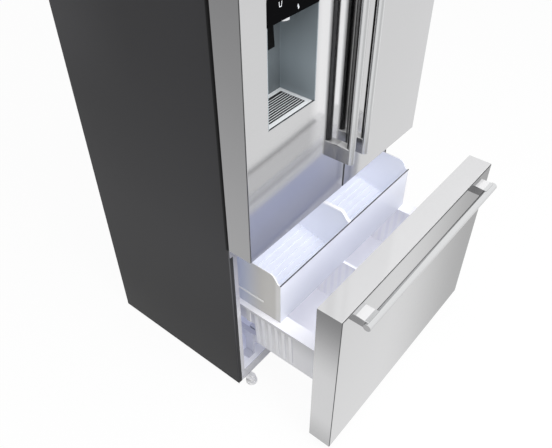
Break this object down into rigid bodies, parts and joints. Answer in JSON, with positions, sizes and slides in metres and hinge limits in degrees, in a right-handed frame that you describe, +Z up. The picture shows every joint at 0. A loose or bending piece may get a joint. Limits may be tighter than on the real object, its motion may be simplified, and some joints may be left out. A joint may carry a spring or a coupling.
{
  "type": "bottom freezer refrigerator",
  "caption": "Free-standing refrigerator with two French doors, an in-door water dispenser and a pull-out bottom freezer drawer with basket and sliding tray.",
  "frame": {"origin": "on the floor, below the centre of the stored pose's bounding box", "axes": "+Z up, the front faces -Y, +X to the right as seen from the front"},
  "size_m": [0.908, 1.08, 1.778],
  "materials": {
    "case_paint": "satin",
    "rear_sheet": "satin",
    "white_paint": "gloss",
    "foam": "matte",
    "liner_white": "gloss",
    "hinge_steel": "zinc plated",
    "dark_plastic": "matte",
    "compressor_black": "gloss",
    "coil_black": "satin",
    "valve_plastic": "matte",
    "evaporator_aluminium": "plain",
    "shelf_glass": "clear",
    "trim_white": "satin",
    "crisper_clear": "translucent",
    "lamp_lens": "opal",
    "rail_steel": "zinc plated",
    "foot_white": "matte",
    "roller_dark": "matte",
    "fan_dark": "matte",
    "stainless": "brushed vertically",
    "gasket_rubber": "matte",
    "handle_steel": "brushed along its length",
    "niche_grey": "satin",
    "panel_black": "gloss",
    "spout_chrome": "polished",
    "bin_clear": "translucent",
    "grille_steel": "satin",
    "paddle_black": "satin",
    "basket_white": "satin",
    "tray_clear": "translucent",
    "trim_dark": "satin"
  },
  "bodies": {
    "cabinet": {"side_panel_left": "case_paint", "side_panel_right": "case_paint", "top_panel": "case_paint", "rear_panel": "rear_sheet", "base_pan": "rear_sheet", "front_flange": "white_paint", "cabinet_insulation": "foam", "fridge_liner": "liner_white", "freezer_liner": "liner_white", "top_hinges": "hinge_steel", "hinge_covers": "dark_plastic", "centre_hinges": "white_paint", "screws": "hinge_steel", "compressor": "compressor_black", "condenser_coil": "coil_black", "condenser_fan_housing": "dark_plastic", "drain_pan": "dark_plastic", "machine_cover": "rear_sheet", "water_valve": "valve_plastic", "power_inlet": "dark_plastic", "evaporator": "evaporator_aluminium", "evaporator_cover": "liner_white", "shelf_glass": "shelf_glass", "shelf_frames": "trim_white", "crisper_left": "crisper_clear", "crisper_right": "crisper_clear", "ceiling_lamp": "lamp_lens", "fixed_rails": "rail_steel"},
    "left_door": {"door_left_skin": "stainless", "door_left_liner": "liner_white", "door_left_gasket": "gasket_rubber", "handle_left": "handle_steel", "dispenser_housing": "niche_grey", "control_panel": "panel_black", "dispenser_spout": "spout_chrome", "door_bins_left": "bin_clear", "drip_grille": "grille_steel"},
    "right_door": {"door_right_skin": "stainless", "door_right_liner": "liner_white", "door_right_gasket": "gasket_rubber", "handle_right": "handle_steel", "door_bins_right": "bin_clear"},
    "freezer_drawer": {"drawer_skin": "stainless", "drawer_liner": "liner_white", "drawer_gasket": "gasket_rubber", "drawer_handle": "handle_steel", "freezer_basket": "basket_white", "basket_divider": "basket_white", "drawer_rails": "rail_steel"},
    "freezer_tray": {"upper_tray": "tray_clear", "tray_trim": "trim_dark"},
    "rail_middle_members": {"middle_rails": "rail_steel"},
    "paddle": {"dispenser_paddle": "paddle_black"},
    "flap": {"centre_flap": "trim_white"},
    "left_foot": {"foot_left": "foot_white"},
    "right_foot": {"foot_right": "foot_white"},
    "left_roller": {"roller_left": "roller_dark"},
    "right_roller": {"roller_right": "roller_dark"},
    "machine_fan": {"condenser_fan": "fan_dark"},
    "cold_fan": {"evaporator_fan": "fan_dark"}
  },
  "joints": [
    {"name": "left_door_hinge", "type": "hinge", "parent": "cabinet", "child": "left_door", "pos_m": [-0.44, -0.126, 1.2], "axis": [0, 0, -1], "range_deg": [0, 130]},
    {"name": "right_door_hinge", "type": "hinge", "parent": "cabinet", "child": "right_door", "pos_m": [0.44, -0.126, 1.2], "axis": [0, 0, 1], "range_deg": [0, 130]},
    {"name": "drawer_slide", "type": "slide", "parent": "cabinet", "child": "freezer_drawer", "axis": [0, -1, 0], "range_m": [-0.317, 0.13]},
    {"name": "rail_slide", "type": "slide", "parent": "cabinet", "child": "rail_middle_members", "axis": [0, -1, 0], "range_m": [-0.1585, 0.065]},
    {"name": "tray_slide", "type": "slide", "parent": "freezer_drawer", "child": "freezer_tray", "axis": [0, -1, 0], "range_m": [0, 0.16]},
    {"name": "paddle_hinge", "type": "hinge", "parent": "left_door", "child": "paddle", "pos_m": [-0.2715, -0.08, 1.376], "axis": [1, 0, 0], "range_deg": [0, 10], "stiffness_Nm_per_rad": 0.4, "springref_deg": -8.59},
    {"name": "flap_hinge", "type": "hinge", "parent": "left_door", "child": "flap", "pos_m": [-0.0307, -0.0715, 1.2], "axis": [0, 0, -1], "range_deg": [0, 90]},
    {"name": "left_foot_screw", "type": "hinge", "parent": "cabinet", "child": "left_foot", "pos_m": [-0.4, -0.093, 0.02], "axis": [0, 0, 1], "continuous": true},
    {"name": "right_foot_screw", "type": "hinge", "parent": "cabinet", "child": "right_foot", "pos_m": [0.4, -0.093, 0.02], "axis": [0, 0, 1], "continuous": true},
    {"name": "left_roller_spin", "type": "hinge", "parent": "cabinet", "child": "left_roller", "pos_m": [-0.4, 0.507, 0.02], "axis": [1, 0, 0], "continuous": true},
    {"name": "right_roller_spin", "type": "hinge", "parent": "cabinet", "child": "right_roller", "pos_m": [0.4, 0.507, 0.02], "axis": [1, 0, 0], "continuous": true},
    {"name": "machine_fan_spin", "type": "hinge", "parent": "cabinet", "child": "machine_fan", "pos_m": [0.034, 0.444, 0.14], "axis": [1, 0, 0], "continuous": true},
    {"name": "cold_fan_spin", "type": "hinge", "parent": "cabinet", "child": "cold_fan", "pos_m": [0, 0.452, 0.56], "axis": [0, -1, 0], "continuous": true}
  ],
  "couplings": [
    {"joint": "rail_slide", "follows": "drawer_slide", "ratio": 0.5}
  ]
}
